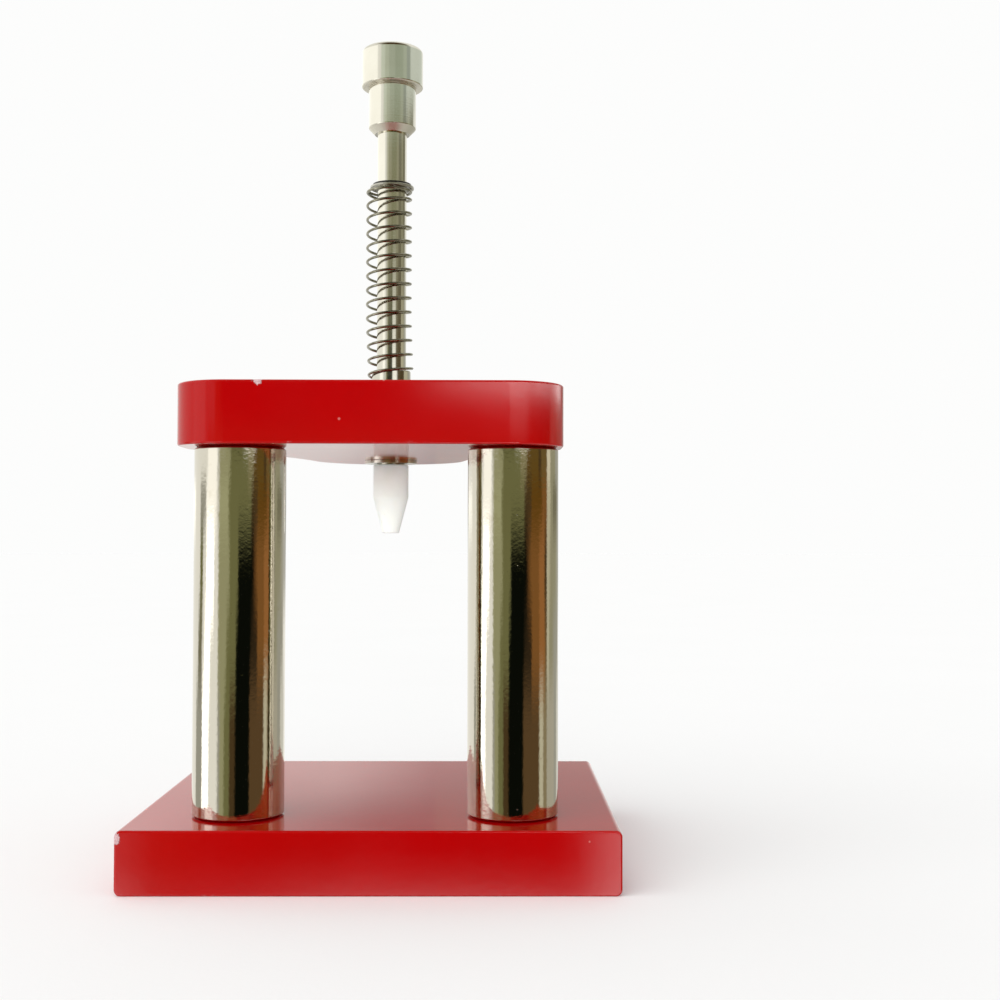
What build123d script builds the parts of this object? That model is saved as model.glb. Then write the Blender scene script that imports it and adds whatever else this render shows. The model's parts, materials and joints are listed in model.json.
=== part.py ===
"""Watch press: a spring-returned plunger with a nylon die, carried over a flat base by two round posts.

Millimetres, +Z up. The origin is the centre of the base's underside. The posts stand at the -Y edge, the
plate reaches over the base towards +Y, and the plunger runs down through the end of that plate.
Each piece is written to parts/NODE.step.
"""
import os
from math import sqrt

from build123d import *

# --- frame ---
BASE_X, BASE_Y, BASE_T = 70.0, 60.0, 9.0
BASE_BAR_R = 0.9             # the base is cut from bar with rounded edges, which run along Y
PAINT_EDGE_R = 0.3           # the paint rounds the cut edges of both plates
POST_D = 13.3
POST_X, POST_Y = 20.0, -18.4
POST_LEN = 53.5
POST_CHAMFER = 0.35
PLATE_T = 9.0
PLATE_X = 56.0               # across the two posts
PLATE_OFF_X = -0.7           # the plate hangs over one post a little more than the other
PLATE_BACK_Y = -28.3
PLATE_BAR_Y = 20.0           # depth of the bar that lies on the posts
PLATE_CORNER_R = 8.0
PLUNGER_X, PLUNGER_Y = -0.3, 15.5
NOSE_R = 13.0
WAIST_R = 60.0               # hollow sides between the bar and the nose

# --- post screws: M5 countersunk with a hexagon socket ---
SCREW_D = 5.0
SCREW_LEN = 20.0
SCREW_HEAD_D = 10.0
SCREW_HEAD_SINK = 0.3
SCREW_CLEARANCE_D = 5.5
SCREW_SOCKET_AF = 3.0
SCREW_SOCKET_DEPTH = 2.2
SCREW_TIP_CHAMFER = 0.6
POST_TAP_DEPTH = 14.0
POST_TAP_CONE_H, POST_TAP_POINT_D = 1.2, 0.4

# --- guide bush ---
BUSH_SEAT_D = 8.6            # in the plate
BUSH_COLLAR_D = 6.6          # above the plate, inside the spring
BUSH_COLLAR_H = 6.4
BUSH_BORE_D = 5.04
BUSH_CHAMFER = 0.25

# --- plunger ---
ROD_D = 5.0
ROD_CHAMFER = 0.3
STOP_GAP = 0.05              # between the stop clip and the plate at rest
DIE_LAND = 0.8               # rod left below the stop clip's groove
DIE_SPIGOT_D = 3.2
DIE_SPIGOT_LEN = 6.8
KNOB_HEAD_D, KNOB_HEAD_H = 10.5, 6.6
KNOB_NECK_D, KNOB_NECK_H = 8.1, 7.0
KNOB_TAPER_H, KNOB_TAPER_D = 1.1, 6.0
KNOB_TOP_R, KNOB_SHOULDER_CHAMFER = 0.7, 0.2
KNOB_BOTTOM_Z = 118.7
KNOB_ROD_DEPTH = 12.2
SET_SCREW_D = 2.5
SET_SCREW_SOCKET_AF = 1.27
SET_SCREW_SOCKET_DEPTH = 0.9
SET_SCREW_SINK = 0.35        # below the neck's surface

# --- retaining clips: open rings that snap into grooves in the rod ---
STOP_CLIP_D, STOP_CLIP_T, STOP_GROOVE_D = 9.0, 0.5, 4.0
SEAT_CLIP_D, SEAT_CLIP_T, SEAT_GROOVE_D = 6.6, 0.4, 4.0
CLIP_MOUTH_RATIO = 0.82      # mouth of the clip against its groove
CLIP_RELIEF_GAP = 0.9        # width of the two relief slots beside the middle lug
CLIP_RELIEF_RATIO = 0.55     # how far the slots reach into the ring
CLIP_RELIEF_INSET = 0.3      # of the slots from the line of the mouth's sides
GROOVE_PLAY = 0.05

# --- return spring ---
WIRE_D = 0.45
SPRING_D = 7.9
SPRING_TURNS = 15
SPRING_TOP_Z = 109.3
SEAT_WASHER_D, SEAT_WASHER_BORE, SEAT_WASHER_T = 7.5, 5.1, 0.4

# --- nylon pressing die ---
DIE_D = 6.0
DIE_TOP_GAP = 0.15           # below the stop clip
DIE_CONE_Z = 56.2
DIE_TIP_D, DIE_TIP_Z = 2.8, 50.1
DIE_RIM_R = 0.3
DIE_RECESS_D = 5.1
DIE_BORE_D, DIE_BORE_LEN = 3.22, 7.0
DIE_HOLE_D, DIE_HOLE_DEPTH = 1.2, 2.6

PLATE_Z = BASE_T + POST_LEN
PLATE_TOP_Z = PLATE_Z + PLATE_T
STOP_CLIP_TOP_Z = PLATE_Z - STOP_GAP
STOP_CLIP_BOTTOM_Z = STOP_CLIP_TOP_Z - STOP_CLIP_T
ROD_BOTTOM_Z = STOP_CLIP_BOTTOM_Z - DIE_LAND
DIE_TOP_Z = STOP_CLIP_BOTTOM_Z - DIE_TOP_GAP
SEAT_CLIP_Z = SPRING_TOP_Z + SEAT_WASHER_T
KNOB_NECK_Z = KNOB_BOTTOM_Z + KNOB_TAPER_H
KNOB_HEAD_Z = KNOB_NECK_Z + KNOB_NECK_H
KNOB_TOP_Z = KNOB_HEAD_Z + KNOB_HEAD_H
ROD_TOP_Z = KNOB_BOTTOM_Z + KNOB_ROD_DEPTH
SET_SCREW_Z = KNOB_NECK_Z + KNOB_NECK_H / 2

OVERCUT = 1.0                # a cutter reaches this far past the face it opens
SIDES = {"left": -1, "right": 1}
BOTTOM_UP = (Align.CENTER, Align.CENTER, Align.MIN)
TOP_DOWN = (Align.CENTER, Align.CENTER, Align.MAX)


def save(shape, node):
    """Write one node, which is always one solid."""
    (solid,) = shape.solids()
    export_step(solid, f"parts/{node}.step")


def upright(diameter, z_low, z_high, x=PLUNGER_X, y=PLUNGER_Y):
    """A round bar on a vertical axis, by default the plunger's axis."""
    return Pos(x, y, z_low) * Cylinder(diameter / 2, z_high - z_low, align=BOTTOM_UP)


def countersunk_screw(x, y, z_face, up):
    """A flush socket screw. Its head is in the face at z_face; up is +1 where that face looks up."""
    head_h = (SCREW_HEAD_D - SCREW_D) / 2
    shank_len = SCREW_LEN - SCREW_HEAD_SINK - head_h
    head = Pos(0, 0, -SCREW_HEAD_SINK) * Cone(SCREW_D / 2, SCREW_HEAD_D / 2, head_h, align=TOP_DOWN)
    shank = Pos(0, 0, -SCREW_HEAD_SINK - head_h) * Cylinder(SCREW_D / 2, shank_len, align=TOP_DOWN)
    socket_plan = RegularPolygon(SCREW_SOCKET_AF / 2, 6, major_radius=False)
    socket = Pos(0, 0, -SCREW_HEAD_SINK - SCREW_SOCKET_DEPTH) * extrude(socket_plan, SCREW_SOCKET_DEPTH)
    screw = head + shank - socket
    tip = screw.faces().sort_by(Axis.Z)[0].edges()
    screw = chamfer(tip, SCREW_TIP_CHAMFER)
    turn = Rot(0, 0, 0) if up > 0 else Rot(180, 0, 0)
    return Pos(x, y, z_face) * turn * screw


def countersunk_hole(x, y, z_face, up, thickness):
    """The clearance hole and cone that take a flush screw through a plate."""
    head_h = (SCREW_HEAD_D - SCREW_D) / 2
    lip = Cylinder(SCREW_HEAD_D / 2, SCREW_HEAD_SINK, align=TOP_DOWN)
    cone = Pos(0, 0, -SCREW_HEAD_SINK) * Cone(SCREW_D / 2, SCREW_HEAD_D / 2, head_h, align=TOP_DOWN)
    through = Pos(0, 0, -head_h) * Cylinder(SCREW_CLEARANCE_D / 2, thickness - head_h, align=TOP_DOWN)
    turn = Rot(0, 0, 0) if up > 0 else Rot(180, 0, 0)
    return Pos(x, y, z_face) * turn * (lip + cone + through)


def base_plate():
    """A length of flat bar along Y, with its two cut ends' edges broken."""
    section = Plane.XZ * Pos(0, BASE_T / 2) * RectangleRounded(BASE_X, BASE_T, BASE_BAR_R)
    plate = extrude(section, BASE_Y / 2, both=True)
    rims = plate.faces().filter_by(Axis.Y).edges()
    plate = fillet(rims, PAINT_EDGE_R)
    for side in SIDES.values():
        plate -= countersunk_hole(side * POST_X, POST_Y, 0, -1, BASE_T)
    return plate


def post(side):
    """A polished round post, tapped at both ends."""
    body = upright(POST_D, BASE_T, PLATE_Z, side * POST_X, POST_Y)
    body = chamfer(body.edges().filter_by(GeomType.CIRCLE), POST_CHAMFER)
    for z, turn in ((BASE_T, Rot(0, 0, 0)), (PLATE_Z, Rot(180, 0, 0))):
        tap = Cylinder(SCREW_D / 2, POST_TAP_DEPTH, align=BOTTOM_UP)
        point = Cone(SCREW_D / 2, POST_TAP_POINT_D / 2, POST_TAP_CONE_H, align=BOTTOM_UP)
        body -= Pos(side * POST_X, POST_Y, z) * turn * (tap + Pos(0, 0, POST_TAP_DEPTH) * point)
    return body


def waist_centre(side):
    """Centre of the hollow arc that touches the bar's far corner and the nose from outside."""
    corner = Vector(side * (PLATE_X / 2 - PLATE_CORNER_R), PLATE_BACK_Y + PLATE_BAR_Y - PLATE_CORNER_R)
    nose = Vector(0, PLUNGER_Y)
    to_nose = nose - corner
    from_corner, from_nose = PLATE_CORNER_R + WAIST_R, NOSE_R + WAIST_R
    along = (to_nose.length**2 + from_corner**2 - from_nose**2) / (2 * to_nose.length)
    out = sqrt(from_corner**2 - along**2)
    ahead = to_nose.normalized()
    outward = Vector(side * ahead.Y, -side * ahead.X)
    return corner + ahead * along + outward * out


def plate_outline():
    """A bar across the posts that narrows, through two hollow arcs, to a round nose about the plunger."""
    bar_y = PLATE_BACK_Y + PLATE_BAR_Y / 2
    corner_x, corner_y = PLATE_X / 2 - PLATE_CORNER_R, PLATE_BACK_Y + PLATE_BAR_Y - PLATE_CORNER_R
    bar = Pos(0, bar_y) * RectangleRounded(PLATE_X, PLATE_BAR_Y, PLATE_CORNER_R)
    left, right = waist_centre(-1), waist_centre(1)
    web = Polyline((-corner_x, corner_y), left, (0, PLUNGER_Y), right, (corner_x, corner_y), close=True)
    outline = bar + make_face(web) + Pos(0, PLUNGER_Y) * Circle(NOSE_R)
    for centre in (left, right):
        outline -= Pos(centre) * Circle(WAIST_R)
    return outline


def top_plate():
    plate = extrude(plate_outline(), PLATE_T)
    rims = plate.faces().filter_by(Axis.Z).edges()
    plate = Pos(PLATE_OFF_X, 0, PLATE_Z) * fillet(rims, PAINT_EDGE_R)
    for side in SIDES.values():
        plate -= countersunk_hole(side * POST_X, POST_Y, PLATE_TOP_Z, 1, PLATE_T)
    return plate - upright(BUSH_SEAT_D, PLATE_Z - OVERCUT, PLATE_TOP_Z + OVERCUT)


def guide_bush():
    """The plunger's bearing, pressed into the plate, with a collar that centres the spring."""
    seat = upright(BUSH_SEAT_D, PLATE_Z, PLATE_TOP_Z)
    collar_top = PLATE_TOP_Z + BUSH_COLLAR_H
    bush = seat + upright(BUSH_COLLAR_D, PLATE_TOP_Z, collar_top)
    bush = chamfer(bush.faces().sort_by(Axis.Z)[-1].edges(), BUSH_CHAMFER)
    return bush - upright(BUSH_BORE_D, PLATE_Z - OVERCUT, collar_top + OVERCUT)


def groove(core_d, z_low, z_high):
    """A ring cut from the rod, with a little play for its clip."""
    low, high = z_low - GROOVE_PLAY, z_high + GROOVE_PLAY
    return upright(ROD_D + OVERCUT, low, high) - upright(core_d, low - OVERCUT, high + OVERCUT)


def plunger_rod():
    rod = upright(ROD_D, ROD_BOTTOM_Z, ROD_TOP_Z)
    rod = chamfer(rod.faces().sort_by(Axis.Z)[-1].edges(), ROD_CHAMFER)
    spigot = upright(DIE_SPIGOT_D, ROD_BOTTOM_Z - DIE_SPIGOT_LEN, ROD_BOTTOM_Z)
    spigot = chamfer(spigot.faces().sort_by(Axis.Z)[0].edges(), ROD_CHAMFER)
    rod += spigot
    rod -= groove(STOP_GROOVE_D, STOP_CLIP_BOTTOM_Z, STOP_CLIP_TOP_Z)
    return rod - groove(SEAT_GROOVE_D, SEAT_CLIP_Z, SEAT_CLIP_Z + SEAT_CLIP_T)


def press_knob():
    """Palm knob: a head on a narrower neck, bored from below for the rod."""
    head = upright(KNOB_HEAD_D, KNOB_HEAD_Z, KNOB_TOP_Z)
    head = fillet(head.faces().sort_by(Axis.Z)[-1].edges(), KNOB_TOP_R)
    head = chamfer(head.faces().sort_by(Axis.Z)[0].edges(), KNOB_SHOULDER_CHAMFER)
    neck = upright(KNOB_NECK_D, KNOB_NECK_Z, KNOB_HEAD_Z)
    taper = Cone(KNOB_TAPER_D / 2, KNOB_NECK_D / 2, KNOB_TAPER_H, align=BOTTOM_UP)
    knob = head + neck + Pos(PLUNGER_X, PLUNGER_Y, KNOB_BOTTOM_Z) * taper
    knob -= upright(ROD_D, KNOB_BOTTOM_Z - OVERCUT, ROD_TOP_Z)
    return knob - set_screw_body(KNOB_NECK_D / 2 + OVERCUT)


def set_screw_body(reach):
    """A bar along +Y from the rod's surface out to reach, measured from the plunger's axis."""
    bar = Cylinder(SET_SCREW_D / 2, reach - ROD_D / 2, align=BOTTOM_UP)
    return Pos(PLUNGER_X, PLUNGER_Y + ROD_D / 2, SET_SCREW_Z) * Rot(-90, 0, 0) * bar


def knob_set_screw():
    """Its flat tip bears on the rod, and its socket faces +Y, just inside the neck."""
    reach = KNOB_NECK_D / 2 - SET_SCREW_SINK
    socket_plan = RegularPolygon(SET_SCREW_SOCKET_AF / 2, 6, major_radius=False)
    socket = Rot(-90, 0, 0) * extrude(socket_plan, -SET_SCREW_SOCKET_DEPTH)
    screw = set_screw_body(reach) - Pos(PLUNGER_X, PLUNGER_Y + reach, SET_SCREW_Z) * socket
    rod_clearance = upright(ROD_D, SET_SCREW_Z - SET_SCREW_D, SET_SCREW_Z + SET_SCREW_D)
    return screw - rod_clearance


def retaining_clip(outer_d, groove_d, thickness, z_low):
    """An E-shaped snap clip: a ring open towards +Y, with a lug in the groove opposite its mouth."""
    ring = Circle(outer_d / 2) - Circle(groove_d / 2)
    mouth_w = groove_d * CLIP_MOUTH_RATIO
    ring -= Pos(0, outer_d / 2) * Rectangle(mouth_w, outer_d)
    relief_r = (groove_d + CLIP_RELIEF_RATIO * (outer_d - groove_d)) / 2
    relief = Circle(relief_r) - Circle(groove_d / 2)
    for side in SIDES.values():
        slot_x = side * (mouth_w / 2 + CLIP_RELIEF_GAP / 2 - CLIP_RELIEF_INSET)
        ring -= relief & Pos(slot_x, -outer_d / 4) * Rectangle(CLIP_RELIEF_GAP, outer_d / 2)
    return Pos(PLUNGER_X, PLUNGER_Y, z_low) * extrude(ring, thickness)


def spring_seat_washer():
    low, high = SPRING_TOP_Z, SPRING_TOP_Z + SEAT_WASHER_T
    return upright(SEAT_WASHER_D, low, high) - upright(SEAT_WASHER_BORE, low - OVERCUT, high + OVERCUT)


def return_spring():
    """Right-hand open coil, with a closed ring of wire at each end."""
    mean_r = (SPRING_D - WIRE_D) / 2
    low_z = PLATE_TOP_Z + WIRE_D / 2
    high_z = SPRING_TOP_Z - WIRE_D / 2
    height = high_z - low_z
    path = Pos(PLUNGER_X, PLUNGER_Y, low_z) * Helix(height / SPRING_TURNS, height, mean_r)
    section = Plane(origin=path @ 0, z_dir=path % 0) * Circle(WIRE_D / 2)
    coil = sweep(section, path, is_frenet=True)
    for z in (low_z, high_z):
        coil += Pos(PLUNGER_X, PLUNGER_Y, z) * Torus(mean_r, WIRE_D / 2)
    return coil


def pressing_die():
    """A slim nylon nose with a blind bore for the plunger's spigot and a centre hole in its tip."""
    body = upright(DIE_D, DIE_CONE_Z, DIE_TOP_Z)
    body = fillet(body.faces().sort_by(Axis.Z)[-1].edges(), DIE_RIM_R)
    cone = Cone(DIE_TIP_D / 2, DIE_D / 2, DIE_CONE_Z - DIE_TIP_Z, align=BOTTOM_UP)
    body += Pos(PLUNGER_X, PLUNGER_Y, DIE_TIP_Z) * cone
    body -= upright(DIE_RECESS_D, ROD_BOTTOM_Z, DIE_TOP_Z + OVERCUT)
    body -= upright(DIE_BORE_D, ROD_BOTTOM_Z - DIE_BORE_LEN, ROD_BOTTOM_Z + OVERCUT)
    return body - upright(DIE_HOLE_D, DIE_TIP_Z - OVERCUT, DIE_TIP_Z + DIE_HOLE_DEPTH)


def main():
    os.makedirs("parts", exist_ok=True)
    save(base_plate(), "base_plate")
    save(top_plate(), "top_plate")
    for name, side in SIDES.items():
        save(post(side), f"{name}_post")
        save(countersunk_screw(side * POST_X, POST_Y, 0, -1), f"base_screw_{name}")
        save(countersunk_screw(side * POST_X, POST_Y, PLATE_TOP_Z, 1), f"top_screw_{name}")
    save(guide_bush(), "guide_bush")
    save(plunger_rod(), "plunger_rod")
    save(press_knob(), "press_knob")
    save(knob_set_screw(), "knob_set_screw")
    save(retaining_clip(STOP_CLIP_D, STOP_GROOVE_D, STOP_CLIP_T, STOP_CLIP_BOTTOM_Z), "stop_clip")
    save(retaining_clip(SEAT_CLIP_D, SEAT_GROOVE_D, SEAT_CLIP_T, SEAT_CLIP_Z), "spring_clip")
    save(spring_seat_washer(), "spring_seat_washer")
    save(return_spring(), "return_spring")
    save(pressing_die(), "pressing_die")


main()
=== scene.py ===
"""The looks of the watch press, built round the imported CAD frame. Metres, +Z up."""
import json
from math import cos, pi, radians, sin, tan

import bmesh
import bpy
from mathutils import Matrix, Vector

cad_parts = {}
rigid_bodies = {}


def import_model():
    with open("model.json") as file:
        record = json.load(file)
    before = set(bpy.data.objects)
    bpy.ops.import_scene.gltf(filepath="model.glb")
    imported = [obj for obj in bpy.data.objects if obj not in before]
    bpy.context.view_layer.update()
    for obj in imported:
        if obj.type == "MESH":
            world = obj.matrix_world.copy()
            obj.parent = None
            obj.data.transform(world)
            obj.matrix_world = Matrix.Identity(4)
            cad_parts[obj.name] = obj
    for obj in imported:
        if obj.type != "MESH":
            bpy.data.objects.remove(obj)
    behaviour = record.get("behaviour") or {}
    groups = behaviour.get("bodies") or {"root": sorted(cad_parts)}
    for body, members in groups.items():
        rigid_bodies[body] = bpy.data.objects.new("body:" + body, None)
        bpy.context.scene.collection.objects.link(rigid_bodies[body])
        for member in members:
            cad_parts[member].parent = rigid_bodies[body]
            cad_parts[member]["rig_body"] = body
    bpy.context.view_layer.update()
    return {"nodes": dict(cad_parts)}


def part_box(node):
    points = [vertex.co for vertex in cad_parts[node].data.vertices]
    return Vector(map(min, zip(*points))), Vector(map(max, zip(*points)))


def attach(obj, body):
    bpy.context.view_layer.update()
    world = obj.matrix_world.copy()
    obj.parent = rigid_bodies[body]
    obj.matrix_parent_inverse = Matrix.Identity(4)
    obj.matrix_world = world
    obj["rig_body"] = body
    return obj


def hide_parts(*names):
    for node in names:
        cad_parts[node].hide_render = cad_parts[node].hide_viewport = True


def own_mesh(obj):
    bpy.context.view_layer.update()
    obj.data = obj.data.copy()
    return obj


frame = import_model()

MM = 0.001

# --- places and sizes that the frame gives ---
BASE_LOW, BASE_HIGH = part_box("base_plate")
PLATE_LOW, PLATE_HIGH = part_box("top_plate")
ROD_LOW, ROD_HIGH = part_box("plunger_rod")
KNOB_LOW, KNOB_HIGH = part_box("press_knob")
STOP_LOW, STOP_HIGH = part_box("stop_clip")
CLIP_LOW, CLIP_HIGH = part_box("spring_clip")
SEAT_LOW, SEAT_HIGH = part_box("spring_seat_washer")
BUSH_LOW, BUSH_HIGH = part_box("guide_bush")
DIE_LOW, DIE_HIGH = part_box("pressing_die")
SPRING_LOW, SPRING_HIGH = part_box("return_spring")
SET_SCREW_LOW, SET_SCREW_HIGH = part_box("knob_set_screw")
AXIS = Vector(((ROD_LOW.x + ROD_HIGH.x) / 2, (ROD_LOW.y + ROD_HIGH.y) / 2, 0))

# --- sizes that a box can't give ---
SEGMENTS, HOLE_SEGMENTS = 192, 64
ARC_STEPS = 6
ON_AXIS = 1e-9               # an outline's point nearer the axis than this is on it
HOLD = 0.03 * MM             # a ring this far past each rounded corner keeps the flats flat when shaded
SHARP_ANGLE = radians(28)
POST_CHAMFER = 0.35 * MM
POST_EDGE_R = 0.35 * POST_CHAMFER
TAP_R, TAP_DEPTH, TAP_POINT = 2.5 * MM, 14 * MM, 1.2 * MM
GROOVE_R, GROOVE_PLAY = 2.0 * MM, 0.05 * MM
ROD_CHAMFER = 0.3 * MM
SPIGOT_R, SPIGOT_LEN = 1.6 * MM, 6.8 * MM
KNOB_HEAD_H, KNOB_NECK_H, KNOB_NECK_R = 6.6 * MM, 7.0 * MM, 4.05 * MM
KNOB_FOOT_R, KNOB_FOOT_EDGE_R = 3.0 * MM, 0.2 * MM
KNOB_TOP_R, KNOB_SHOULDER_R = 0.7 * MM, 0.25 * MM
KNOB_HEAD_Z = KNOB_HIGH.z - KNOB_HEAD_H
KNOB_NECK_Z = KNOB_HEAD_Z - KNOB_NECK_H
KNOB_RING_GAP = 0.5 * MM
HOLE_OVERSHOOT = 1 * MM
COLLAR_R, COLLAR_EDGE_R = 3.3 * MM, 0.25 * MM
BUSH_BORE_R, BUSH_EDGE_R = 2.52 * MM, 0.1 * MM
WASHER_BORE_R, WASHER_EDGE_R = 2.55 * MM, 0.1 * MM
DIE_CONE_H, DIE_TIP_R, DIE_TIP_EDGE_R = 6.1 * MM, 1.4 * MM, 0.25 * MM
DIE_SHOULDER_R, DIE_RIM_R = 0.5 * MM, 0.3 * MM
DIE_RECESS_R, DIE_RECESS_EDGE_R = 2.55 * MM, 0.05 * MM
DIE_BORE_R, DIE_BORE_DEPTH = 1.61 * MM, 7.0 * MM
DIE_HOLE_R, DIE_HOLE_DEPTH, DIE_HOLE_EDGE_R = 0.6 * MM, 2.6 * MM, 0.08 * MM
DIE_SEAT_PLAY = 0.01 * MM    # below the rod's shoulder, so that the two faces don't share a plane
WIRE_R, WIRE_DOME = 0.225 * MM, 0.4
ACTIVE_TURNS, WIRE_SIDES, STEPS_PER_TURN = 15, 14, 64
SPRING_START = radians(162)
SPRING_LEAN_FOOT, SPRING_LEAN_HEAD = 0.12 * MM, 0.48 * MM
LEAN_FROM, LEAN_TO = 0.10, 0.45


# ---------------------------------------------------------------- shader graphs
class Graph:
    """A short way to write shader nodes. A value is a number, a colour, or another node's output."""

    def __init__(self, tree):
        self.tree = tree
        tree.nodes.clear()

    def add(self, kind, inputs, out=0, **settings):
        node = self.tree.nodes.new(kind)
        for key, value in settings.items():
            setattr(node, key, value)
        for key, value in inputs.items():
            socket = node.inputs[key]
            if isinstance(value, bpy.types.NodeSocket):
                self.tree.links.new(value, socket)
            elif socket.type == "RGBA":
                socket.default_value = (*value, 1)
            else:
                socket.default_value = value
        return node.outputs[out]

    def show(self, shader, kind):
        """Links a shader to the tree's output node."""
        self.tree.links.new(shader, self.tree.nodes.new(kind).inputs["Surface"])

    def math(self, operation, *values):
        return self.add("ShaderNodeMath", dict(enumerate(values)), operation=operation)

    def vector(self, operation, *values, out=0):
        return self.add("ShaderNodeVectorMath", dict(enumerate(values)), out, operation=operation)

    def axis(self, vector, i):
        return self.add("ShaderNodeSeparateXYZ", {0: vector}, i)

    def smooth(self, value, low, high):
        """0 where value is low, 1 where it is high, and smooth between."""
        inputs = {0: value, 1: low, 2: high}
        return self.add("ShaderNodeMapRange", inputs, interpolation_type="SMOOTHSTEP")

    def span(self, value, low, high):
        """A value from 0 to 1 taken to low to high."""
        return self.add("ShaderNodeMapRange", {0: value, 3: low, 4: high})

    def mix(self, factor, a, b):
        """From colour a to colour b."""
        return self.add("ShaderNodeMix", {0: factor, 6: a, 7: b}, 2, data_type="RGBA")

    def blend(self, factor, a, b):
        """From number a to number b."""
        return self.add("ShaderNodeMix", {0: factor, 2: a, 3: b})

    def noise(self, vector, size, detail=3.0, roughness=0.5):
        """About 0.5 on average, with features about size metres across."""
        inputs = {"Vector": vector, "Scale": 1 / size, "Detail": detail, "Roughness": roughness}
        return self.add("ShaderNodeTexNoise", inputs)

    def tool_marks(self, vector, gap, detail):
        """Noise that changes only with height, about gap metres from ring to ring."""
        inputs = {"W": self.axis(vector, 2), "Scale": 1 / gap, "Detail": detail}
        return self.add("ShaderNodeTexNoise", inputs, noise_dimensions="1D")

    def specks(self, vector, gap, radius, share):
        """1 inside dots, of a radius in gaps, at a share of the places scattered gap metres apart."""
        inputs = {"Vector": vector, "Scale": 1 / gap}
        distance = self.add("ShaderNodeTexVoronoi", inputs)
        chance = self.add("ShaderNodeTexVoronoi", inputs, "Color")
        picked = self.math("LESS_THAN", self.add("ShaderNodeSeparateColor", {0: chance}), share)
        return self.math("MULTIPLY", self.smooth(distance, radius, radius * 0.6), picked)

    def scaled(self, vector, x, y, z):
        return self.add("ShaderNodeMapping", {"Vector": vector, "Scale": (x, y, z)})

    def ramp(self, value, stops):
        """Stops are (place, colour)."""
        output = self.add("ShaderNodeValToRGB", {0: value})
        elements = output.node.color_ramp.elements
        for i, (place, colour) in enumerate(stops):
            element = elements[i] if i < 2 else elements.new(place)
            element.position, element.color = place, (*colour, 1)
        return output

    def bump(self, height, depth, under=None):
        """A height from 0 to 1 stands for depth metres. It adds to the bump under it."""
        inputs = {"Distance": depth, "Height": height}
        if under is not None:
            inputs["Normal"] = under
        return self.add("ShaderNodeBump", inputs)


def material(name, paint):
    """A material. paint(graph, coords) gives its Principled inputs, keyed as Blender names them."""
    made = bpy.data.materials.new(name)
    made.use_nodes = True
    graph = Graph(made.node_tree)
    coords = graph.add("ShaderNodeTexCoord", {}, "Object")
    surface = graph.add("ShaderNodeBsdfPrincipled", paint(graph, coords))
    graph.show(surface, "ShaderNodeOutputMaterial")
    return made


def near(graph, coords, place, size):
    """1 inside a patch of the given half sizes about a place, with a ragged edge."""
    away = graph.vector("DIVIDE", graph.vector("SUBTRACT", coords, place), size)
    away = graph.vector("LENGTH", away, out="Value")
    ragged = graph.span(graph.noise(coords, 0.4 * MM, 4, 0.7), -1.2, 1.2)
    return graph.smooth(graph.math("ADD", away, ragged), 1.0, 0.9)


def edge_wear(graph, width):
    """1 on edges sharper than the width, from the Bevel node."""
    rounded = graph.add("ShaderNodeBevel", {0: width}, samples=6)
    flat = graph.add("ShaderNodeNewGeometry", {}, "Normal")
    alike = graph.vector("DOT_PRODUCT", rounded, flat, out="Value")
    return graph.smooth(alike, 0.995, 0.93)


def red_paint(graph, coords):
    """Glossy red enamel: thin at the edges, with dust in it, fine wipe marks and two chips."""
    depth = graph.noise(coords, 18 * MM, 2)
    colour = graph.mix(depth, (0.360, 0.0002, 0.0006), (0.410, 0.0004, 0.0010))
    mottle = graph.noise(coords, 1.6 * MM, 4, 0.6)
    colour = graph.mix(graph.span(mottle, 0.0, 0.35), colour, (0.32, 0.0002, 0.0005))
    thin = edge_wear(graph, 0.5 * MM)
    colour = graph.mix(graph.math("MULTIPLY", thin, 0.25), colour, (0.52, 0.02, 0.02))

    dust = graph.specks(coords, 5 * MM, 0.045, 0.35)
    colour = graph.mix(graph.math("MULTIPLY", dust, 0.35), colour, (0.75, 0.35, 0.30))

    broken = graph.smooth(graph.noise(coords, 2.2 * MM, 5, 0.65), 0.66, 0.70)
    chips = graph.math("MULTIPLY", thin, broken)
    plate_chip = near(graph, coords, (-16 * MM, PLATE_LOW.y, PLATE_HIGH.z), (0.75 * MM, 0.8 * MM, 0.8 * MM))
    corner = (BASE_LOW.x + 0.35 * MM, BASE_LOW.y, BASE_HIGH.z - 1.1 * MM)
    corner_chip = near(graph, coords, corner, (0.45 * MM, 1.0 * MM, 0.9 * MM))
    chips = graph.math("MAXIMUM", chips, graph.math("MAXIMUM", plate_chip, corner_chip))
    primer = graph.mix(graph.noise(coords, 0.3 * MM, 4, 0.7), (0.24, 0.05, 0.06), (0.86, 0.66, 0.67))
    colour = graph.mix(chips, colour, primer)

    smears = graph.noise(graph.scaled(coords, 1, 1, 0.35), 9 * MM, 3, 0.5)
    scratches = graph.noise(graph.scaled(coords, 0.12, 1, 1), 0.25 * MM, 2)
    rough = graph.math("ADD", graph.span(smears, 0.03, 0.12), graph.math("MULTIPLY", scratches, 0.04))
    rough = graph.blend(chips, rough, 0.7)

    orange_peel = graph.bump(graph.noise(coords, 1.3 * MM, 2), 0.004 * MM)
    nibs = graph.bump(dust, 0.04 * MM, orange_peel)
    pits = graph.bump(graph.math("SUBTRACT", 1.0, chips), 0.09 * MM, nibs)
    return {"Base Color": colour, "Roughness": rough, "Normal": pits, "IOR": 1.33}


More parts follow.
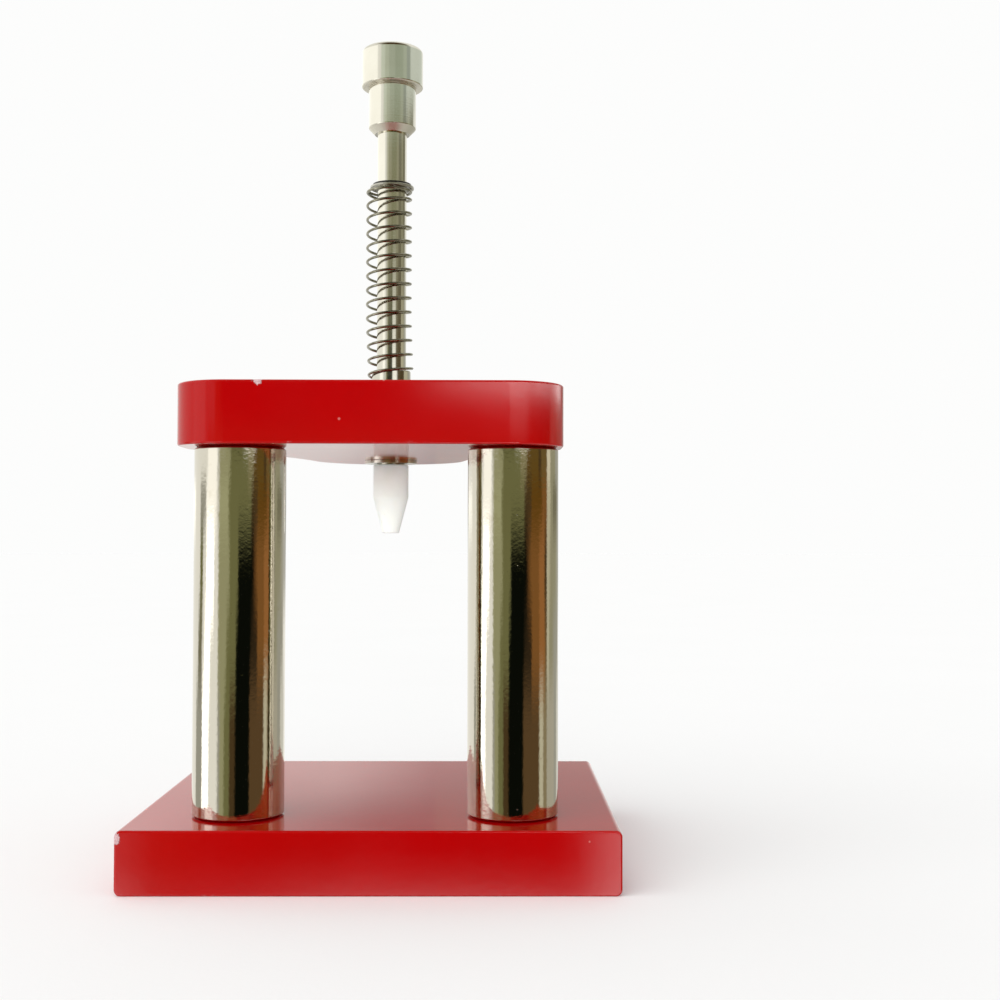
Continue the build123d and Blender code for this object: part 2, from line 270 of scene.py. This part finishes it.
def grime_and_shade_line(graph, coords, low, high):
    """1 in a thin uneven line at the heights low and high, such as where a post meets a plate: grime and
    painted shade.
    """
    z = graph.axis(coords, 2)
    wander = graph.math("MULTIPLY", graph.noise(coords, 1.5 * MM, 4), 0.5 * MM)
    foot = graph.smooth(graph.math("SUBTRACT", z, wander), low + 0.3 * MM, low - 0.2 * MM)
    head = graph.smooth(graph.math("ADD", z, wander), high - 0.3 * MM, high + 0.2 * MM)
    return graph.math("MAXIMUM", foot, head)


def bright_nickel(graph, coords):
    """Nickel plate on a ground bar: bright but a little rippled, with stains, and grime and painted shade
    at its ends.
    """
    warm = graph.noise(coords, 14 * MM, 3)
    colour = graph.mix(warm, (0.66, 0.62, 0.53), (0.71, 0.67, 0.58))
    stain = graph.smooth(graph.noise(coords, 4.5 * MM, 5, 0.62), 0.60, 0.74)
    colour = graph.mix(graph.math("MULTIPLY", stain, 0.25), colour, (0.50, 0.43, 0.30))
    # A thin dark reddish ring where each post meets a plate: grime and a painted shade line, not cast by
    # the lights.
    joint_grime_and_shade = grime_and_shade_line(graph, coords, BASE_HIGH.z, PLATE_LOW.z)
    colour = graph.mix(graph.math("MULTIPLY", joint_grime_and_shade, 0.6), colour, (0.22, 0.14, 0.10))

    hairlines = graph.noise(graph.scaled(coords, 1, 1, 0.04), 0.12 * MM, 2)
    rough = graph.span(graph.noise(coords, 6 * MM, 4), 0.015, 0.05)
    rough = graph.math("MULTIPLY_ADD", hairlines, 0.02, rough)

    ripple = graph.bump(graph.noise(coords, 0.6 * MM, 4, 0.6), 0.012 * MM)
    grind = graph.bump(hairlines, 0.0005 * MM, ripple)
    pits = graph.bump(graph.specks(coords, 1.7 * MM, 0.08, 0.3), -0.006 * MM, grind)
    return {"Base Color": colour, "Metallic": 1.0, "Roughness": rough, "Normal": pits}


def turned_nickel(graph, coords):
    """Lathe-turned and plated, with tool marks and rubbed patches, and duller under the knob's edges."""
    shade = graph.noise(coords, 5 * MM, 4)
    colour = graph.mix(shade, (0.62, 0.59, 0.50), (0.74, 0.72, 0.64))
    z = graph.axis(coords, 2)
    marks = graph.tool_marks(coords, 0.22 * MM, 3)
    rubbed = graph.noise(coords, 3 * MM, 4, 0.6)
    rough = graph.math("MULTIPLY_ADD", marks, 0.05, graph.span(rubbed, 0.06, 0.14))
    shoulder = graph.math("COMPARE", z, KNOB_HEAD_Z, 0.12 * MM)
    taper = graph.math("COMPARE", z, (KNOB_LOW.z + KNOB_NECK_Z) / 2, 0.5 * MM)
    rough = graph.math("MULTIPLY_ADD", graph.math("ADD", shoulder, taper), 0.35, rough)
    cut = graph.bump(marks, 0.0025 * MM)
    ripple = graph.bump(graph.noise(coords, 0.6 * MM, 3), 0.003 * MM, cut)
    return {"Base Color": colour, "Metallic": 1.0, "Roughness": rough, "Normal": ripple}


def plain_steel(dark, bright, rough_low, rough_high, grain):
    """A small steel part's finish: blotched colour, fine grain and brighter rubbed edges."""

    def paint(graph, coords):
        blotch = graph.noise(coords, 1.8 * MM, 5, 0.6)
        colour = graph.mix(blotch, dark, bright)
        rubbed = graph.math("MULTIPLY", edge_wear(graph, 0.12 * MM), graph.noise(coords, 0.8 * MM, 3))
        colour = graph.mix(rubbed, colour, (0.75, 0.72, 0.66))
        rough = graph.span(graph.noise(coords, 0.5 * MM, 4, 0.6), rough_low, rough_high)
        surface = graph.bump(graph.noise(coords, 0.25 * MM, 4, 0.6), grain)
        return {"Base Color": colour, "Metallic": 1.0, "Roughness": rough, "Normal": surface}

    return paint


def spring_wire(graph, coords):
    """Drawn wire: a thin dull film over bright steel, rubbed through in places."""
    film = graph.noise(coords, 1.1 * MM, 4, 0.6)
    colour = graph.mix(graph.smooth(film, 0.35, 0.65), (0.20, 0.19, 0.14), (0.33, 0.31, 0.24))
    rough = graph.span(graph.noise(coords, 0.4 * MM, 3), 0.10, 0.24)
    draw = graph.bump(graph.noise(coords, 0.15 * MM, 3), 0.002 * MM)
    return {"Base Color": colour, "Metallic": 1.0, "Roughness": rough, "Normal": draw}


def nylon(graph, coords):
    """White nylon turned from rod: milky, with fine tool marks and a few handling marks."""
    cloud = graph.noise(coords, 2.5 * MM, 4)
    colour = graph.mix(cloud, (0.81, 0.89, 0.84), (0.87, 0.95, 0.90))
    handled = graph.smooth(graph.noise(coords, 1.2 * MM, 5, 0.65), 0.62, 0.76)
    colour = graph.mix(graph.math("MULTIPLY", handled, 0.22), colour, (0.66, 0.63, 0.52))
    cut = graph.bump(graph.tool_marks(coords, 0.16 * MM, 2), 0.010 * MM)
    grain = graph.bump(graph.noise(coords, 0.3 * MM, 4), 0.006 * MM, cut)
    return {
        "Base Color": colour, "Roughness": graph.span(cloud, 0.34, 0.48), "Normal": grain, "IOR": 1.53,
        "Subsurface Weight": 0.6, "Subsurface Radius": (1.0, 0.95, 0.85), "Subsurface Scale": 0.9 * MM,
    }


def pale_floor(graph, coords):
    """Matt off-white card with a faint tone and tooth."""
    tone = graph.noise(coords, 60 * MM, 3)
    colour = graph.mix(tone, (0.895, 0.897, 0.890), (0.910, 0.910, 0.905))
    tooth = graph.bump(graph.noise(coords, 0.8 * MM, 4), 0.02 * MM)
    return {"Base Color": colour, "Roughness": 0.9, "Specular IOR Level": 0.0, "Normal": tooth}


ZINC = plain_steel((0.36, 0.35, 0.30), (0.54, 0.52, 0.46), 0.22, 0.42, 0.003 * MM)
BLACK_OXIDE = plain_steel((0.020, 0.020, 0.022), (0.055, 0.050, 0.046), 0.30, 0.50, 0.003 * MM)
SPRING_STEEL = plain_steel((0.50, 0.47, 0.41), (0.66, 0.63, 0.56), 0.10, 0.22, 0.002 * MM)
FINISHES = {
    name: material(name, paint)
    for name, paint in {
        "red_paint": red_paint, "bright_nickel": bright_nickel, "turned_nickel": turned_nickel,
        "zinc_steel": ZINC, "black_steel": BLACK_OXIDE, "clip_steel": SPRING_STEEL,
        "spring_wire": spring_wire, "nylon": nylon,
    }.items()
}


# ---------------------------------------------------------------- shapes
def rounded(corners):
    """An outline of (r, z) points. A corner is (r, z), or (r, z, radius) where it is rounded."""
    points = []
    for i, corner in enumerate(corners):
        here = Vector(corner[:2])
        if len(corner) == 2:
            points.append(here)
            continue
        before = (Vector(corners[i - 1][:2]) - here).normalized()
        after = (Vector(corners[(i + 1) % len(corners)][:2]) - here).normalized()
        half_turn = before.angle(after) / 2
        centre = here + (before + after).normalized() * (corner[2] / sin(half_turn))
        reach = corner[2] / tan(half_turn)
        start, end = ((here + way * reach - centre).normalized() for way in (before, after))
        points.append(here + before * (reach + HOLD))
        points += [centre + start.slerp(end, step / ARC_STEPS) * corner[2] for step in range(ARC_STEPS + 1)]
        points.append(here + after * (reach + HOLD))
    return points


def turned(name, corners, centre, closed=False):
    """A lathe-turned mesh. An outline from axis to axis is solid, and a closed one is a ring."""
    outline = rounded(corners)
    mesh = bmesh.new()
    rings = []
    for r, z in outline:
        if r < ON_AXIS:
            rings.append([mesh.verts.new((centre.x, centre.y, z))])
            continue
        spokes = (2 * pi * i / SEGMENTS for i in range(SEGMENTS))
        rings.append([mesh.verts.new((centre.x + r * cos(a), centre.y + r * sin(a), z)) for a in spokes])
    pairs = list(zip(rings, rings[1:])) + ([(rings[-1], rings[0])] if closed else [])
    for one, two in pairs:
        for i in range(SEGMENTS):
            j = (i + 1) % SEGMENTS
            corner = [one[i % len(one)], one[j % len(one)], two[j % len(two)], two[i % len(two)]]
            mesh.faces.new(list(dict.fromkeys(corner)))
    return finished(name, mesh)


def finished(name, mesh):
    """Turns a bmesh into a smooth-shaded object with its hard edges kept."""
    bmesh.ops.recalc_face_normals(mesh, faces=mesh.faces)
    data = bpy.data.meshes.new(name)
    mesh.to_mesh(data)
    mesh.free()
    data.shade_smooth()
    data.set_sharp_from_angle(angle=SHARP_ANGLE)
    made = bpy.data.objects.new(name, data)
    bpy.context.scene.collection.objects.link(made)
    return made


def stand_in(made, node, finish):
    """A Blender piece takes a CAD node's place: its body and its finish."""
    made.data.materials.clear()
    made.data.materials.append(FINISHES[finish])
    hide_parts(node)
    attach(made, frame["nodes"][node]["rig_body"])
    return made


def posts():
    for node in ("left_post", "right_post"):
        low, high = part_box(node)
        centre, r = (low + high) / 2, (high.x - low.x) / 2
        corners = [
            (0, low.z + TAP_DEPTH + TAP_POINT), (TAP_R, low.z + TAP_DEPTH), (TAP_R, low.z),
            (r - POST_CHAMFER, low.z), (r, low.z + POST_CHAMFER, POST_EDGE_R),
            (r, high.z - POST_CHAMFER, POST_EDGE_R), (r - POST_CHAMFER, high.z), (TAP_R, high.z),
            (TAP_R, high.z - TAP_DEPTH), (0, high.z - TAP_DEPTH - TAP_POINT),
        ]
        stand_in(turned(f"{node}_bar", corners, centre), node, "bright_nickel")


def rod():
    r = (ROD_HIGH.x - ROD_LOW.x) / 2
    shoulder = ROD_LOW.z + SPIGOT_LEN
    corners = [(0, ROD_LOW.z), (SPIGOT_R - ROD_CHAMFER, ROD_LOW.z), (SPIGOT_R, ROD_LOW.z + ROD_CHAMFER),
               (SPIGOT_R, shoulder), (r, shoulder)]
    for low, high in ((STOP_LOW.z, STOP_HIGH.z), (CLIP_LOW.z, CLIP_HIGH.z)):
        corners += [(r, low - GROOVE_PLAY), (GROOVE_R, low - GROOVE_PLAY), (GROOVE_R, high + GROOVE_PLAY),
                    (r, high + GROOVE_PLAY)]
    corners += [(r, ROD_HIGH.z - ROD_CHAMFER), (r - ROD_CHAMFER, ROD_HIGH.z), (0, ROD_HIGH.z)]
    stand_in(turned("plunger_rod_bar", corners, AXIS), "plunger_rod", "turned_nickel")


def knob():
    """The palm knob, with the cross hole for its set screw cut through the back of the neck."""
    head_r, rod_r = (KNOB_HIGH.x - KNOB_LOW.x) / 2, (ROD_HIGH.x - ROD_LOW.x) / 2
    rings = round(KNOB_NECK_H / KNOB_RING_GAP)
    neck = [(KNOB_NECK_R, KNOB_NECK_Z + KNOB_RING_GAP * i) for i in range(1, rings)]
    corners = [
        (0, ROD_HIGH.z), (rod_r, ROD_HIGH.z), (rod_r, KNOB_LOW.z), (KNOB_FOOT_R, KNOB_LOW.z),
        (KNOB_NECK_R, KNOB_NECK_Z, KNOB_FOOT_EDGE_R), *neck, (KNOB_NECK_R, KNOB_HEAD_Z),
        (head_r, KNOB_HEAD_Z, KNOB_SHOULDER_R), (head_r, KNOB_HIGH.z, KNOB_TOP_R), (0, KNOB_HIGH.z),
    ]
    made = turned("press_knob_turned", corners, AXIS)
    cut_hole(made, (SET_SCREW_LOW + SET_SCREW_HIGH) / 2, (SET_SCREW_HIGH.x - SET_SCREW_LOW.x) / 2)
    stand_in(made, "press_knob", "turned_nickel")


def cut_hole(made, screw_centre, radius):
    """Cuts a round hole along +Y from the rod's axis outwards."""
    cutter = bmesh.new()
    reach = KNOB_NECK_R + HOLE_OVERSHOOT
    place = Matrix.Translation((AXIS.x, AXIS.y + reach / 2, screw_centre.z))
    bmesh.ops.create_cone(cutter, cap_ends=True, segments=HOLE_SEGMENTS, radius1=radius, radius2=radius,
                          depth=reach, matrix=place @ Matrix.Rotation(pi / 2, 4, "X"))
    tool = finished("knob_hole_tool", cutter)
    cut = made.modifiers.new("set_screw_hole", "BOOLEAN")
    cut.operation, cut.solver, cut.object = "DIFFERENCE", "EXACT", tool
    whole = made.evaluated_get(bpy.context.evaluated_depsgraph_get())
    made.data = bpy.data.meshes.new_from_object(whole)
    made.modifiers.clear()
    bpy.data.objects.remove(tool)
    made.data.shade_smooth()
    made.data.set_sharp_from_angle(angle=SHARP_ANGLE)


def bush():
    seat_r = (BUSH_HIGH.x - BUSH_LOW.x) / 2
    corners = [
        (BUSH_BORE_R, BUSH_LOW.z, BUSH_EDGE_R), (seat_r, BUSH_LOW.z), (seat_r, PLATE_HIGH.z),
        (COLLAR_R, PLATE_HIGH.z), (COLLAR_R, BUSH_HIGH.z, COLLAR_EDGE_R),
        (BUSH_BORE_R, BUSH_HIGH.z, BUSH_EDGE_R),
    ]
    stand_in(turned("guide_bush_turned", corners, AXIS, closed=True), "guide_bush", "turned_nickel")


def washer():
    r, edge = (SEAT_HIGH.x - SEAT_LOW.x) / 2, WASHER_EDGE_R
    corners = [(WASHER_BORE_R, SEAT_LOW.z, edge), (r, SEAT_LOW.z, edge), (r, SEAT_HIGH.z, edge),
               (WASHER_BORE_R, SEAT_HIGH.z, edge)]
    stand_in(turned("spring_seat_ring", corners, AXIS, closed=True), "spring_seat_washer", "zinc_steel")


def die():
    r = (DIE_HIGH.x - DIE_LOW.x) / 2
    step = ROD_LOW.z + SPIGOT_LEN - DIE_SEAT_PLAY
    corners = [
        (0, DIE_LOW.z + DIE_HOLE_DEPTH), (DIE_HOLE_R, DIE_LOW.z + DIE_HOLE_DEPTH),
        (DIE_HOLE_R, DIE_LOW.z, DIE_HOLE_EDGE_R), (DIE_TIP_R, DIE_LOW.z, DIE_TIP_EDGE_R),
        (r, DIE_LOW.z + DIE_CONE_H, DIE_SHOULDER_R), (r, DIE_HIGH.z, DIE_RIM_R),
        (DIE_RECESS_R, DIE_HIGH.z, DIE_RECESS_EDGE_R), (DIE_RECESS_R, step), (DIE_BORE_R, step),
        (DIE_BORE_R, step - DIE_BORE_DEPTH), (0, step - DIE_BORE_DEPTH),
    ]
    return stand_in(turned("pressing_die_nose", corners, AXIS), "pressing_die", "nylon")


def coil_line():
    """The spring's centreline: a touching turn at each end, an even pitch between, and a lean to -X."""
    low, high = SPRING_LOW.z + WIRE_R, SPRING_HIGH.z - WIRE_R
    r = (SPRING_HIGH.x - SPRING_LOW.x) / 2 - WIRE_R
    pitch = (high - low - 4 * WIRE_R) / ACTIVE_TURNS
    turns = ACTIVE_TURNS + 2
    points = []
    for i in range(turns * STEPS_PER_TURN + 1):
        turn = i / STEPS_PER_TURN
        z = low + 2 * WIRE_R * (min(turn, 1) + max(turn - 1 - ACTIVE_TURNS, 0))
        z += pitch * min(max(turn - 1, 0), ACTIVE_TURNS)
        rise = min(max(((z - low) / (high - low) - LEAN_FROM) / (LEAN_TO - LEAN_FROM), 0), 1)
        lean = SPRING_LEAN_FOOT + (SPRING_LEAN_HEAD - SPRING_LEAN_FOOT) * rise * rise * (3 - 2 * rise)
        angle = SPRING_START + 2 * pi * turn
        points.append(Vector((AXIS.x - lean + r * cos(angle), AXIS.y + r * sin(angle), min(z, high))))
    return points


def spring():
    """Round wire swept along the coil, right-handed, with domed ends."""
    line = coil_line()
    mesh = bmesh.new()
    rings = []
    for i, point in enumerate(line):
        ahead = (line[min(i + 1, len(line) - 1)] - line[max(i - 1, 0)]).normalized()
        side = ahead.cross(Vector((0, 0, 1))).normalized()
        up = side.cross(ahead)
        spokes = (2 * pi * k / WIRE_SIDES for k in range(WIRE_SIDES))
        rings.append([mesh.verts.new(point + WIRE_R * (cos(a) * side + sin(a) * up)) for a in spokes])
    for one, two in zip(rings, rings[1:]):
        for k in range(WIRE_SIDES):
            m = (k + 1) % WIRE_SIDES
            mesh.faces.new((one[k], one[m], two[m], two[k]))
    for ring, way in ((rings[0], line[0] - line[1]), (rings[-1], line[-1] - line[-2])):
        centre = sum((v.co for v in ring), Vector()) / WIRE_SIDES
        tip = mesh.verts.new(centre + way.normalized() * WIRE_R * WIRE_DOME)
        for k in range(WIRE_SIDES):
            mesh.faces.new((ring[k], ring[(k + 1) % WIRE_SIDES], tip))
    made = stand_in(finished("return_spring_coil", mesh), "return_spring", "spring_wire")
    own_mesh(made)


def dress_cad_nodes():
    """The CAD nodes that stay get the finish that the record's slot names."""
    kept = {
        "red_paint": ("base_plate", "top_plate"),
        "zinc_steel": ("base_screw_left", "base_screw_right", "top_screw_left", "top_screw_right"),
        "black_steel": ("knob_set_screw", "spring_clip"),
        "clip_steel": ("stop_clip",),
    }
    for finish, nodes in kept.items():
        for node in nodes:
            slots = frame["nodes"][node].data.materials
            slots.clear()
            slots.append(FINISHES[finish])


# ---------------------------------------------------------------- studio
CAMERA_PLACE = Vector((16.3, -222.3, 49.45)) * MM
CAMERA_YAW, CAMERA_PITCH, CAMERA_ROLL = 0.0088, 0.0268, 0.0020
CAMERA_LENS, CAMERA_SENSOR = 49.97, 36.0
CAMERA_CLIP = (0.01, 10.0)
FLOOR_R, FLOOR_SEGMENTS = 4.0, 96
PAPER_WHITE = (0.979, 0.981, 0.975)
LIGHT_LEFT, LIGHT_RIGHT = (1.08, 1.08, 1.08), (0.54, 0.54, 0.54)

# The soft distant lights: strength, spread, and the direction that each comes from.
WINDOW = (1.10, radians(75), (-0.55, -0.75, 0.95))
FRONT_FILL = (0.85, radians(20), (0.0, -1.0, 0.09))
DIE_LIGHT = (3.0, radians(25), (-0.25, -1.0, 0.05))

# What the room's wall is coloured with, from its windows to its darkest corner.
BULB, LAMP, WALL, CREAM = (2.60, 2.60, 2.60), (1.40, 1.40, 1.36), (1.02, 1.02, 0.98), (0.80, 0.75, 0.60)
PALE, FROST, MILK, STONE = (0.75, 0.75, 0.70), (0.75, 0.82, 0.72), (0.72, 0.78, 0.72), (0.66, 0.66, 0.58)
STRAW, LICHEN, MIST, FOG = (0.62, 0.59, 0.45), (0.60, 0.66, 0.55), (0.60, 0.60, 0.58), (0.60, 0.60, 0.56)
HAZE, REED, LINEN, SAGE = (0.55, 0.55, 0.52), (0.50, 0.56, 0.46), (0.50, 0.48, 0.40), (0.50, 0.50, 0.36)
FERN, RUSH, ASH, PEWTER = (0.45, 0.46, 0.27), (0.43, 0.49, 0.39), (0.42, 0.42, 0.37), (0.40, 0.45, 0.40)
KHAKI, MOSS, OAK, LEAD = (0.38, 0.38, 0.22), (0.37, 0.36, 0.25), (0.37, 0.16, 0.05), (0.34, 0.34, 0.33)
TAUPE, HAY, PEAT, WALNUT = (0.30, 0.25, 0.15), (0.29, 0.26, 0.14), (0.28, 0.28, 0.17), (0.25, 0.11, 0.03)
SLATE, BARK, OLIVE, TEAK = (0.23, 0.22, 0.15), (0.19, 0.12, 0.05), (0.19, 0.19, 0.08), (0.18, 0.12, 0.04)
HONEY, RUST, COCOA, UMBER = (0.15, 0.09, 0.02), (0.15, 0.07, 0.01), (0.12, 0.07, 0.03), (0.08, 0.05, 0.02)
SOOT, NIGHT = (0.03, 0.02, 0.01), (0.004, 0.005, 0.003)

# The room that the bright metal and the paint mirror: a round wall of soft-edged patches.
# A row is (lowest mm, highest mm, patches), and the wall blends from row to row. A patch is (first degree
# round from -Y towards +X, colour), with a third number where its edge isn't PATCH_EDGE degrees wide.
ROOM_R, ROOM_LOW, ROOM_HIGH, ROOM_SEGMENTS = 210 * MM, -150 * MM, 350 * MM, 256
PATCH_EDGE = 3.0
BRIGHTEST = 12.0             # a ramp's colours are divided by this, so they stay under 1, and scaled back
ROOM = (
    (-150, -66, ((-180, PALE), (-60, WALL), (60, PALE))),
    (-46, 0, ((-180, WALL), (-112, ASH), (-86, BULB), (-67, WALL), (-44, ASH), (-39, KHAKI), (-29, OLIVE),
              (-17, UMBER), (-5, NIGHT), (28, COCOA), (66, STRAW), (77, TAUPE), (88, LINEN), (118, ASH),
              (134, PALE), (160, WALL))),
    (17, 20, ((-180, WALL), (-104, SLATE), (-89, WALL), (-80, BULB), (-64, WALL), (-44, KHAKI),
              (-25, OLIVE), (-4, NIGHT), (30, SOOT), (47, WALNUT), (66, OAK), (82, BARK), (88, STRAW),
              (96, MOSS), (114, ASH, 12), (150, WALL, 10))),
    (38, 44, ((-180, MIST), (-176, WALL, 8), (-98, OLIVE), (-87, WALL), (-75, BULB), (-55, WALL),
              (-44, KHAKI), (-19, OLIVE), (0, NIGHT), (40, WALNUT, 12), (65, OAK), (80, UMBER),
              (88, STRAW), (98, MOSS, 10), (140, HAZE, 30), (176, MIST, 8))),
    (58, 62, ((-180, LEAD), (-163, LAMP, 25), (-125, WALL), (-98, ASH), (-78, LAMP), (-48, PALE, 6),
              (-43, FERN), (-22, OLIVE), (30, UMBER), (46, RUST), (73, WALNUT), (88, STRAW), (101, MOSS),
              (112, SLATE), (140, HAZE, 20), (176, ASH, 8))),
    (68, 74, ((-180, FOG), (-165, WALL, 25), (-80, WALL), (-73, LAMP), (-48, PALE), (-43, KHAKI),
              (-18, OLIVE), (21, HAY), (35, HONEY), (63, UMBER), (70, TEAK), (88, CREAM), (100, MOSS),
              (125, ASH), (150, FOG, 20))),
    (82, 96, ((-180, PALE), (-165, WALL, 25), (-73, LAMP), (-48, PALE), (-30, OLIVE), (-22, NIGHT),
              (11, LAMP, 8), (40, UMBER, 10), (88, STRAW), (120, ASH), (150, PALE, 20))),
    (150, 180, ((-180, WALL), (-165, LAMP, 20), (-58, WALL), (-45, STONE), (-34, SAGE), (-24, MOSS),
                (0, PEAT), (42, MOSS), (60, SLATE), (88, MOSS), (100, SLATE), (130, WALL, 10))),
    (190, 216, ((-180, WALL), (-165, LAMP, 20), (-56, WALL), (-42, FROST), (-26, LICHEN), (-10, REED),
                (14, RUSH), (47, REED), (62, PEWTER), (78, MILK), (150, WALL, 10))),
    (245, 350, ((-180, WALL), (-45, SLATE, 20), (-25, UMBER, 10), (35, SLATE, 20), (75, WALL, 20))),
)

# A glow before the press that only the paint mirrors. Its rows are like the room's, with greys for colours.
GLOW_R = 205 * MM
GLOW = (
    (-150, -46, ((-180, 0), (-50, 4.7, 10), (-21.5, 1.2, 4), (-10, 3.2, 8), (13.7, 11, 4.6), (26, 0, 10))),
    (-41, -39, ((-180, 0), (-50, 3.7, 10), (-21.5, 0.35, 4), (-10, 0.5, 8), (13.7, 8, 4.6), (26, 0, 10))),
    (-34, -20, ((-180, 0), (-50, 1.7, 10), (-21.5, 0, 4), (13.7, 7.5, 4.6), (26, 0, 10))),
    (0, 74, ((-180, 0), (60, 0))),
    (81, 82, ((-180, 0), (3.5, 0.2, 9), (75, 0.1, 30), (125, 0, 20))),
    (86, 86, ((-180, 0), (3.5, 1.4, 9), (75, 0.5, 30), (125, 0, 20))),
    (91, 100, ((-180, 0), (3.5, 11, 9), (75, 5, 30), (125, 0, 20))),
    (120, 350, ((-180, 0), (60, 0))),
)


def camera():
    yaw, pitch, roll = CAMERA_YAW, CAMERA_PITCH, CAMERA_ROLL
    ahead = Vector((sin(yaw) * cos(pitch), cos(yaw) * cos(pitch), sin(pitch)))
    level_right = Vector((cos(yaw), -sin(yaw), 0))
    level_up = level_right.cross(ahead)
    right = cos(roll) * level_right + sin(roll) * level_up
    up = cos(roll) * level_up - sin(roll) * level_right
    data = bpy.data.cameras.new("camera")
    data.lens, data.sensor_width = CAMERA_LENS, CAMERA_SENSOR
    data.clip_start, data.clip_end = CAMERA_CLIP
    made = bpy.data.objects.new("camera", data)
    turn = Matrix((right, up, -ahead)).transposed().to_4x4()
    made.matrix_world = Matrix.Translation(CAMERA_PLACE) @ turn
    bpy.context.scene.collection.objects.link(made)
    bpy.context.scene.camera = made


def band(graph, azimuth, patches):
    """A ramp round a wall, from its patches."""
    degrees, colour = patches[0]
    stops = [(degrees, colour)]
    for degrees, next_colour, *soft in patches[1:]:
        half = (soft[0] if soft else PATCH_EDGE) / 2
        stops += [(degrees - half, colour), (degrees + half, next_colour)]
        colour = next_colour
    return graph.ramp(azimuth, [((place + 180) / 360, tuple(c / BRIGHTEST for c in shown))
                                for place, shown in stops])


def greys(rows):
    """Rows of patches whose colours are greys, as rows of full colours."""
    return [(low, high, [(degrees, (grey,) * 3, *soft) for degrees, grey, *soft in patches])
            for low, high, patches in rows]


def wall_light(graph, coords, rows):
    """What shines from each place on a round wall."""
    x, y, z = (graph.axis(coords, i) for i in range(3))
    turn = graph.math("ARCTAN2", x, graph.math("MULTIPLY", y, -1.0))
    azimuth = graph.math("MULTIPLY_ADD", turn, 1 / (2 * pi), 0.5)
    shown = band(graph, azimuth, rows[0][2])
    for (_, below, _), (above, _, patches) in zip(rows, rows[1:]):
        share = graph.add("ShaderNodeMapRange", {0: z, 1: below * MM, 2: above * MM})
        shown = graph.mix(share, shown, band(graph, azimuth, patches))
    return graph.add("ShaderNodeVectorMath", {0: shown, "Scale": BRIGHTEST}, operation="SCALE")


def round_wall(name, radius, rows, clear=False):
    """A wall that only mirror-like reflections see. A clear one adds to what is behind it."""
    mesh = bmesh.new()
    middle = Matrix.Translation((0, 0, (ROOM_LOW + ROOM_HIGH) / 2))
    bmesh.ops.create_cone(mesh, segments=ROOM_SEGMENTS, radius1=radius, radius2=radius,
                          depth=ROOM_HIGH - ROOM_LOW, matrix=middle)
    made = finished(name, mesh)
    skin = bpy.data.materials.new(name)
    skin.use_nodes = True
    skin.cycles.emission_sampling = "NONE"
    graph = Graph(skin.node_tree)
    coords = graph.add("ShaderNodeTexCoord", {}, "Object")
    shader = graph.add("ShaderNodeEmission", {0: wall_light(graph, coords, rows)})
    if clear:
        behind = graph.add("ShaderNodeBsdfTransparent", {})
        shader = graph.add("ShaderNodeAddShader", {0: shader, 1: behind})
    graph.show(shader, "ShaderNodeOutputMaterial")
    made.data.materials.append(skin)
    made.visible_camera = made.visible_diffuse = made.visible_shadow = False
    made.visible_transmission = made.visible_volume_scatter = False
    return made


def shine_only_on(light, *pieces):
    """Links a light to the pieces that it falls on."""
    light.light_linking.receiver_collection = bpy.data.collections.new(f"{light.name}_falls_on")
    for piece in pieces:
        light.light_linking.receiver_collection.objects.link(piece)


def surroundings():
    """Even light for matt surfaces, stronger from the left, and paper white for the camera."""
    world = bpy.data.worlds.new("studio")
    bpy.context.scene.world = world
    world.use_nodes = True
    world.cycles.sampling_method = "NONE"
    graph = Graph(world.node_tree)
    direction = graph.add("ShaderNodeTexCoord", {}, "Generated")
    x, y = (graph.axis(direction, i) for i in range(2))
    colour = graph.mix(graph.smooth(x, -1.0, 1.0), LIGHT_LEFT, LIGHT_RIGHT)
    ceiling = graph.mix(graph.smooth(y, -0.35, 0.05), UMBER, WALL)
    ray = {name: graph.add("ShaderNodeLightPath", {}, name) for name in ("Is Camera Ray", "Is Glossy Ray")}
    colour = graph.mix(ray["Is Glossy Ray"], colour, ceiling)
    colour = graph.mix(ray["Is Camera Ray"], colour, PAPER_WHITE)
    graph.show(graph.add("ShaderNodeBackground", {0: colour}), "ShaderNodeOutputWorld")


def soft_sun(name, energy, spread, towards):
    """A soft distant light that comes from a direction and isn't mirrored."""
    light = bpy.data.lights.new(name, "SUN")
    light.energy, light.angle = energy, spread
    made = bpy.data.objects.new(name, light)
    made.rotation_euler = Vector(towards).to_track_quat("Z", "Y").to_euler()
    made.visible_glossy = False
    bpy.context.scene.collection.objects.link(made)
    return made


def floor():
    mesh = bmesh.new()
    bmesh.ops.create_circle(mesh, cap_ends=True, segments=FLOOR_SEGMENTS, radius=FLOOR_R)
    made = finished("floor", mesh)
    made.data.materials.append(material("pale_floor", pale_floor))
    made.visible_glossy = False


def main():
    posts()
    rod()
    knob()
    bush()
    washer()
    nose = die()
    spring()
    dress_cad_nodes()
    camera()
    round_wall("room", ROOM_R, ROOM)
    glow = round_wall("glow", GLOW_R, greys(GLOW), clear=True)
    shine_only_on(glow, frame["nodes"]["base_plate"], frame["nodes"]["top_plate"])
    surroundings()
    soft_sun("window", *WINDOW)
    soft_sun("front_fill", *FRONT_FILL)
    die_light = soft_sun("die_light", *DIE_LIGHT)
    shine_only_on(die_light, nose)
    floor()
    bpy.context.scene.view_settings.view_transform = "Standard"


main()
